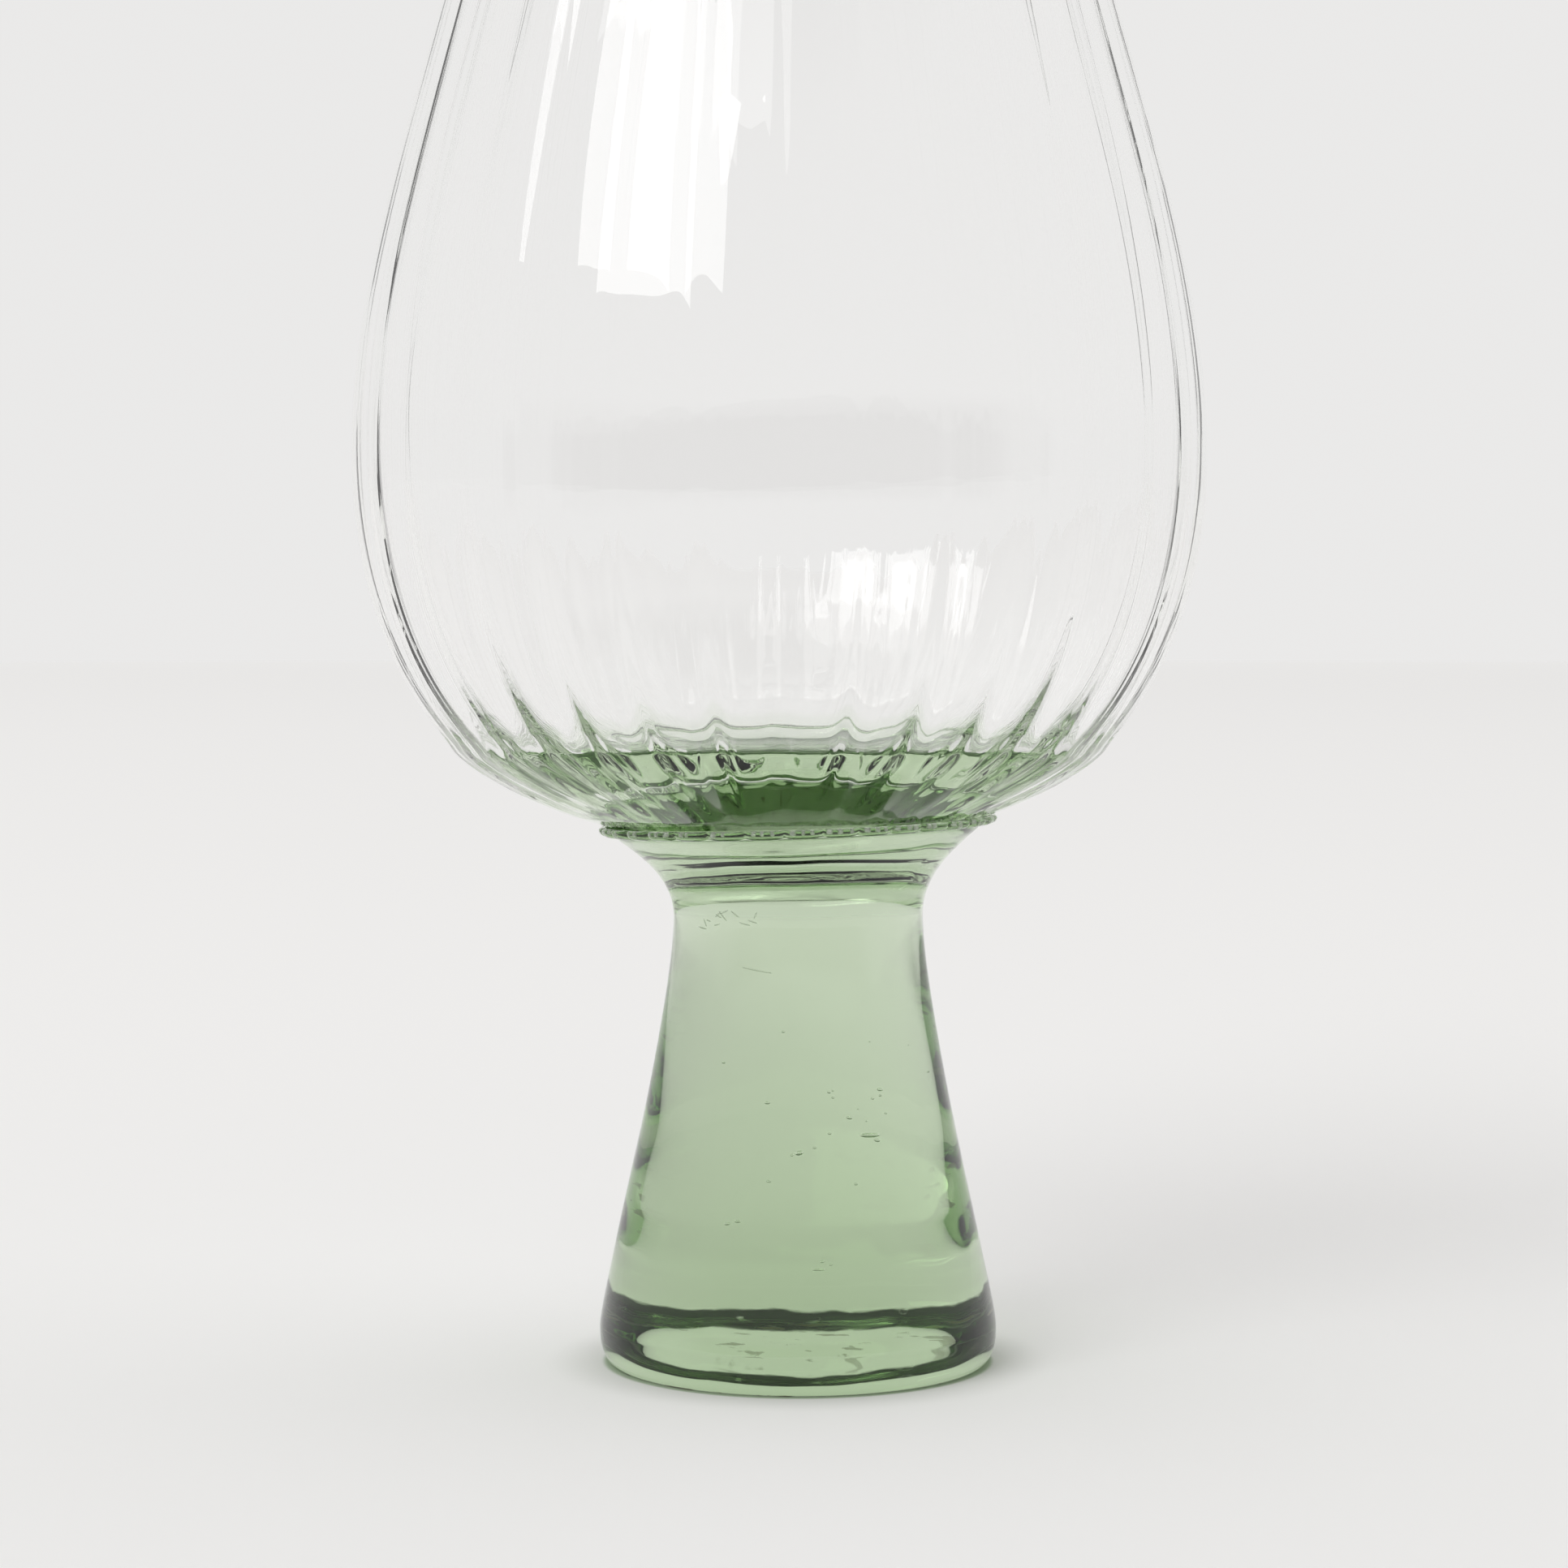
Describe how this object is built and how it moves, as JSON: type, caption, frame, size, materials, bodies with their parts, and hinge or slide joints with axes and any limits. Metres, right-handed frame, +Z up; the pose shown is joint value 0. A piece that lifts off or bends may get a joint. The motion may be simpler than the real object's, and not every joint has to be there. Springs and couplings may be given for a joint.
{
  "type": "wine glass",
  "caption": "Stemmed wine glass: a clear ribbed round-bellied bowl on a short solid green stem with a beaded collar.",
  "frame": {"origin": "centre of the foot's flat underside, on the stem's axis", "axes": "+Z up along the stem, from the table to the rim; the bowl stands 2 mm off the stem's axis towards -X"},
  "size_m": [0.09, 0.09, 0.175],
  "materials": {
    "clear_glass": "polished, optic ribbed",
    "green_glass": "polished, hand formed, with seeds"
  },
  "bodies": {
    "root": {"bowl": "clear_glass", "beaded_collar": "green_glass", "stem": "green_glass"}
  },
  "joints": []
}
